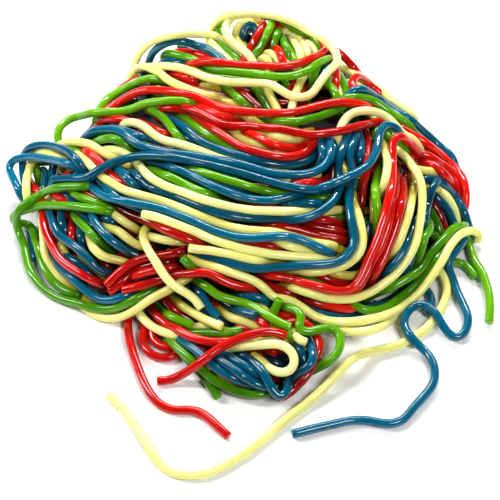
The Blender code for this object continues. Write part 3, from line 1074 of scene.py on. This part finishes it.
def nearestLaces(laces, view):
    # which lace the camera sees in each cell of its picture
    cells, depths, owners = [], [], []
    for index, one in enumerate(laces):
        depth = np.linalg.norm(one["places"] - view["eye"], axis=1)
        across, down = stampedCells(cellsOf(spotsOf(view, one["places"])))
        cells.append((across * mapSize + down).ravel())
        depths.append((depth[:, None] - stampGap[None, :] / 2).ravel())
        owners.append(np.full(across.size, index))
    order = np.argsort(-np.concatenate(depths), kind="stable")
    seen = np.full(mapSize * mapSize, -1)
    seen[np.concatenate(cells)[order]] = np.concatenate(owners)[order]
    return seen.reshape(mapSize, mapSize)


def keptRun(inSight):
    # how much of a hidden end stays: up to where it would come out again
    out = np.flatnonzero(inSight > np.minimum.accumulate(inSight) + hidden["bareShare"])
    return max(out[0], 1) if len(out) else len(inSight)


def trimHiddenEnds(laces, view):
    # what should be out of sight past an end and isn't, is cut off
    seen = nearestLaces(laces, view)
    slack = hidden["slack"]
    trimmed = 0
    for index, one in enumerate(laces):
        inSight = (seen[stampedCells(cellsOf(spotsOf(view, one["places"])))] == index).mean(axis=1)
        shown = np.flatnonzero(~one["hidden"])
        if not len(shown):
            continue
        first, last = shown[0], shown[-1] + 1
        if first > 0:
            first += slack - keptRun(inSight[:first + slack][::-1])
        if last < len(inSight):
            last += keptRun(inSight[last - slack:]) - slack
        if last - first >= hidden["leastPlaces"]:
            trimmed += len(inSight) - (last - first)
            one["places"] = one["places"][first:last]
    print("places trimmed off hidden ends:", trimmed)


def withRims(places):
    # narrower rings past each end round off its cut
    smooth = np.stack([softened(column, 1) for column in places.T], axis=1)
    smooth[[0, -1]] = places[[0, -1]]
    firstWay = smooth[1] - smooth[0]
    lastWay = smooth[-1] - smooth[-2]
    firstWay = firstWay / np.linalg.norm(firstWay)
    lastWay = lastWay / np.linalg.norm(lastWay)
    rims = lace["rimRings"]
    before = [smooth[0] - firstWay * lace["cutRim"] * out for out, _ in rims]
    after = [smooth[-1] + lastWay * lace["cutRim"] * out for out, _ in reversed(rims)]
    rimmed = np.vstack([*before, smooth, *after])
    way = np.gradient(rimmed, axis=0)
    way[:len(rims) + 1] = firstWay
    way[-len(rims) - 1:] = lastWay
    return rimmed, way / np.maximum(np.linalg.norm(way, axis=1, keepdims=True), 1e-9)


def carriedSides(way):
    # a side of each ring, carried along the lace without a twist
    side = np.zeros_like(way)
    start = np.cross(way[0], (0, 0, 1) if abs(way[0][2]) < 0.9 else (1, 0, 0))
    side[0] = start / np.linalg.norm(start)
    for index in range(1, len(way)):
        kept = side[index - 1] - way[index] * (side[index - 1] @ way[index])
        side[index] = kept / np.linalg.norm(kept)
    return side


def unevenRadius(run, rng):
    phases = [rng.uniform(0, 2 * math.pi) for _ in lace["waves"]]
    wave = 2 * math.pi * run / lace["unevenLength"]
    waves = zip(lace["waves"], phases)
    swell = sum(size * np.sin(pace * wave + phase) for (pace, size), phase in waves) / 2
    radius = lace["radius"] * (1 + lace["unevenness"] * swell)
    for place, (_, narrow) in enumerate(lace["rimRings"]):
        radius[[place, -1 - place]] *= narrow
    return radius


def tubeMesh(laces, name, seed):
    # all laces of one colour as one mesh, with its own map along and around each lace
    rng = random.Random(seed)
    sides = lace["sides"]
    angle = np.arange(sides) * 2 * math.pi / sides
    girth = 2 * math.pi * lace["radius"] / sides
    corners, faces, uvs, tones, depths = [], [], [], [], []
    base = 0
    for one in laces:
        places, way = withRims(one["places"])
        side = carriedSides(way)
        over = np.cross(way, side)
        run = runAlong(places)
        radius = unevenRadius(run, rng)
        arms = (np.cos(angle)[None, :, None] * side[:, None, :]
                + np.sin(angle)[None, :, None] * over[:, None, :])
        corners.append((places[:, None, :] + radius[:, None, None] * arms).reshape(-1, 3))
        rows = len(places)
        run = run + rng.uniform(0, lace["patternShift"])
        tones.append(np.full(rows * sides, rng.random()))
        # painted shade: how deep each ring lies under the outside of the heap, as a share of shadeDepth,
        # darkens its colour in the material
        under = heapHeight(places[:, 0], places[:, 1]) - lace["radius"] - places[:, 2]
        depths.append(np.repeat(np.clip(under / lace["shadeDepth"], 0, 1), sides))
        for row in range(rows - 1):
            here = base + row * sides
            for turn in range(sides):
                after = (turn + 1) % sides
                faces.append((here + turn, here + after, here + sides + after, here + sides + turn))
                uvs += [(run[row], turn * girth), (run[row], (turn + 1) * girth),
                        (run[row + 1], (turn + 1) * girth), (run[row + 1], turn * girth)]
        faces.append(tuple(base + turn for turn in reversed(range(sides))))
        faces.append(tuple(base + (rows - 1) * sides + turn for turn in range(sides)))
        for place in (0, rows - 1):
            uvs += [(run[place] + math.cos(a), math.sin(a)) for a in angle]
        base += rows * sides
    mesh = bpy.data.meshes.new(name)
    mesh.from_pydata((np.vstack(corners) * millimetre).tolist(), [], faces)
    layer = mesh.uv_layers.new(name="alongLace")
    layer.data.foreach_set("uv", (np.array(uvs) * millimetre).astype(np.float32).ravel())
    for label, values in (("laceTone", tones), ("paintedShadeByDepth", depths)):
        attribute = mesh.attributes.new(label, "FLOAT", "POINT")
        attribute.data.foreach_set("value", np.concatenate(values).astype(np.float32))
    mesh.validate()
    mesh.shade_smooth()
    mesh.set_sharp_from_angle(angle=math.radians(lace["sharpAngle"]))
    piece = bpy.data.objects.new(name, mesh)
    bpy.context.scene.collection.objects.link(piece)
    return piece


def linear(hexColour):
    # an sRGB hex colour as linear values
    parts = [int(hexColour[place:place + 2], 16) / 255 for place in (1, 3, 5)]
    return [part / 12.92 if part <= 0.04045 else ((part + 0.055) / 1.055) ** 2.4 for part in parts] + [1]


def addNode(material, kind, settings=(), inputs=(), links=()):
    node = material.node_tree.nodes.new(kind)
    for key, value in dict(settings).items():
        setattr(node, key, value)
    for key, value in dict(inputs).items():
        node.inputs[key].default_value = value
    for key, (source, output) in dict(links).items():
        material.node_tree.links.new(source.outputs[output], node.inputs[key])
    return node


def newMaterial(name, values):
    material = bpy.data.materials.new(name)
    material.use_nodes = True
    shader = material.node_tree.nodes["Principled BSDF"]
    for socket, value in values.items():
        shader.inputs[socket].default_value = value
    return material, shader


# Colours of each candy; "shade" is painted shade, mixed in where a lace lies deep in the heap
candy = {
    "red": {
        "letter": "r", "slot": "candy_red",
        "pale": "#E0180E", "deep": "#B40A06", "shade": "#640402", "glow": (1.0, 0.1, 0.05),
    },
    "yellow": {
        "letter": "y", "slot": "candy_yellow",
        "pale": "#F8F8AA", "deep": "#EEEA84", "shade": "#AE9E1C", "glow": (1.0, 0.85, 0.4),
    },
    "green": {
        "letter": "g", "slot": "candy_green",
        "pale": "#6EB00A", "deep": "#478E05", "shade": "#285C03", "glow": (0.4, 1.0, 0.05),
    },
    "blue": {
        "letter": "b", "slot": "candy_blue",
        "pale": "#006886", "deep": "#014860", "shade": "#012636", "glow": (0.05, 0.5, 1.0),
    },
}

jelly = {
    "cloud": 11,             # size of the paler and deeper stretches
    "contrast": 1.8,
    "dimple": 4,             # size of the dents left by the nozzle
    "dimpleDepth": 0.15,
    "dimpleShare": 0.06,
    "roughness": 0.13,
    "ior": 1.46,             # of sugar jelly
    "inside": 0.7,           # share of the light that goes in and comes out again
    "glowReach": 1.8,
}


def candyMaterial(name, coloursAndPaintedShade):
    # Extruded sugar jelly with an oiled skin: full colour, a little light inside, sharp streaks of gloss,
    # and painted shade on laces that lie deep in the heap
    material, shader = newMaterial(name + "CandyJelly", {
        "Roughness": jelly["roughness"], "IOR": jelly["ior"],
        "Subsurface Weight": jelly["inside"], "Subsurface Radius": coloursAndPaintedShade["glow"],
        "Subsurface Scale": jelly["glowReach"] * millimetre,
    })
    uv = addNode(material, "ShaderNodeUVMap", {"uv_map": "alongLace"})
    tone = addNode(material, "ShaderNodeAttribute", {"attribute_name": "laceTone"})
    depth = addNode(material, "ShaderNodeAttribute", {"attribute_name": "paintedShadeByDepth"})
    cloudScale = {"Scale": 1 / (jelly["cloud"] * millimetre), "Detail": 2}
    cloudy = addNode(material, "ShaderNodeTexNoise", inputs=cloudScale, links={"Vector": (uv, 0)})
    times = {"operation": "MULTIPLY"}
    blend = addNode(material, "ShaderNodeMath", times, links={0: (tone, "Fac"), 1: (cloudy, 0)})
    more = addNode(material, "ShaderNodeMath", times, {1: jelly["contrast"]}, {0: (blend, 0)})
    mix = {"data_type": "RGBA"}
    tones = {6: linear(coloursAndPaintedShade["pale"]), 7: linear(coloursAndPaintedShade["deep"])}
    colour = addNode(material, "ShaderNodeMix", mix, tones, {0: (more, 0)})
    # painted shade: the deeper a lace lies in the heap, the more its colour turns to the shade colour
    shade = {7: linear(coloursAndPaintedShade["shade"])}
    shaded = addNode(material, "ShaderNodeMix", mix, shade, {0: (depth, "Fac"), 6: (colour, 2)})
    dimpleScale = {"Scale": 1 / (jelly["dimple"] * millimetre), "Detail": 4}
    dimples = addNode(material, "ShaderNodeTexNoise", inputs=dimpleScale, links={"Vector": (uv, 0)})
    bumpSize = {"Strength": jelly["dimpleShare"], "Distance": jelly["dimpleDepth"] * millimetre}
    bump = addNode(material, "ShaderNodeBump", inputs=bumpSize, links={"Height": (dimples, 0)})
    material.node_tree.links.new(shaded.outputs[2], shader.inputs["Base Color"])
    material.node_tree.links.new(bump.outputs[0], shader.inputs["Normal"])
    return material


# The inside of the heap, painted near-black as shade, which shows only as darkness between the laces.
inside = {
    "sink": 21,              # how far under the outside of the heap
    "foot": 0.6,
    "leastTop": 1.2,
    "segments": 72,
    "rings": 36,
    "pale": "#240A08",
    "deep": "#100604",
    "patch": 8,
    "roughness": 0.7,
}


def insideMaterial():
    # Painted deep shade: candy coloured a dull brown that is almost black, with slightly paler patches
    skin = {"Roughness": inside["roughness"], "IOR": jelly["ior"]}
    material, shader = newMaterial("candyInDeepShade", skin)
    place = addNode(material, "ShaderNodeTexCoord")
    scale = {"Scale": 1 / (inside["patch"] * millimetre)}
    patches = addNode(material, "ShaderNodeTexNoise", inputs=scale, links={"Vector": (place, "Object")})
    tones = {6: linear(inside["pale"]), 7: linear(inside["deep"])}
    colour = addNode(material, "ShaderNodeMix", {"data_type": "RGBA"}, tones, {0: (patches, 0)})
    material.node_tree.links.new(colour.outputs[2], shader.inputs["Base Color"])
    return material


def makeCore():
    bpy.ops.object.select_all(action="DESELECT")
    bpy.ops.mesh.primitive_uv_sphere_add(segments=inside["segments"], ring_count=inside["rings"], radius=1)
    core = bpy.context.object
    core.name = "heapInside"
    for corner in core.data.vertices:
        level = math.hypot(corner.co.x, corner.co.y)
        direction = math.atan2(corner.co.y, corner.co.x)
        reach = (moundReach(np.array([direction]))[0] - inside["sink"]) * level
        x = heap["centre"][0] + reach * math.cos(direction)
        y = heap["centre"][1] + reach * math.sin(direction)
        top = max(float(heapHeight(np.array([x]), np.array([y]))[0]) - inside["sink"], inside["leastTop"])
        corner.co = Vector((x, y, top if corner.co.z > 0 else inside["foot"])) * millimetre
    core.data.shade_smooth()
    return core


def buildLaces():
    view = makeView(photoView["azimuth"], photoView["elevation"])
    traced, cover = readTraced()
    front = makeFillers(traced, cover, view) + traced
    placeLaces(front, view)
    behind = makeView(farSide["azimuth"], farSide["elevation"])
    far = makeFarLaces(behind, view, cover)
    placeLaces(far, behind, others=front)
    settle(front + far, settling["rounds"])
    trimHiddenEnds(front, view)
    return front + far


laces = buildLaces()
total = sum(runAlong(one["places"])[-1] for one in laces)
print("laces:", len(laces), "metres in all:", round(total * millimetre, 2))
for number, name in enumerate(candy):
    own = [one for one in laces if one["colour"] == candy[name]["letter"]]
    piece = tubeMesh(own, name + "Laces", number)
    piece.data.materials.append(candyMaterial(name, candy[name]))
    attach(piece, "root")
    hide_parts("laces")
    print(piece.name, len(piece.data.polygons), "faces")
core = makeCore()
core.data.materials.append(insideMaterial())
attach(core, "root")
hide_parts("laces")
print("core of the heap:", core.name)

# Matt white board without gloss: an even white that takes only soft shadows
whiteTable = {
    "size": 8,
    "colour": "#FAFAFA",
    "roughness": 0.9,
}
bpy.ops.object.select_all(action="DESELECT")
bpy.ops.mesh.primitive_plane_add(size=whiteTable["size"])
table = bpy.context.object
table.name = "whiteTable"
board = {"Base Color": linear(whiteTable["colour"]), "Roughness": whiteTable["roughness"]}
table.data.materials.append(newMaterial("mattWhiteBoard", board)[0])

lights = [
    {"name": "keyStrip", "place": (0.1, 0.95, 0.95), "size": (1.2, 0.1), "power": 25},
    {"name": "leftStrip", "place": (-0.8, 0.1, 0.75), "size": (0.15, 0.7), "power": 9.5},
    {"name": "frontSoftbox", "place": (0.45, -0.65, 0.95), "size": (0.4, 0.3), "power": 8.5},
]
lightAim = (0, 0, 0.02)
roomLight = 0.05


def addLight(name, place, size, power):
    data = bpy.data.lights.new(name, "AREA")
    data.shape = "RECTANGLE"
    data.size, data.size_y = size
    data.energy = power
    lamp = bpy.data.objects.new(name, data)
    bpy.context.scene.collection.objects.link(lamp)
    lamp.location = place
    lamp.rotation_euler = (Vector(lightAim) - Vector(place)).to_track_quat("-Z", "Y").to_euler()


for light in lights:
    addLight(**light)
world = bpy.data.worlds.new("paleRoom")
world.use_nodes = True
world.node_tree.nodes["Background"].inputs["Color"].default_value = (1, 1, 1, 1)
world.node_tree.nodes["Background"].inputs["Strength"].default_value = roomLight
bpy.context.scene.world = world
bpy.context.scene.view_settings.view_transform = "Standard"
print("lights:", len(lights))

cameraData = bpy.data.cameras.new("photoCamera")
cameraData.sensor_width = photoView["sensor"]
pictureWidth = photoView["pictureSize"] * photoView["picturePoint"]
cameraData.lens = photoView["sensor"] * photoView["distance"] / pictureWidth
camera = bpy.data.objects.new("photoCamera", cameraData)
bpy.context.scene.collection.objects.link(camera)
photo = makeView(photoView["azimuth"], photoView["elevation"])
camera.location = Vector(photo["eye"]) * millimetre
camera.rotation_euler = Vector(-photo["back"]).to_track_quat("-Z", "Y").to_euler()
bpy.context.scene.camera = camera
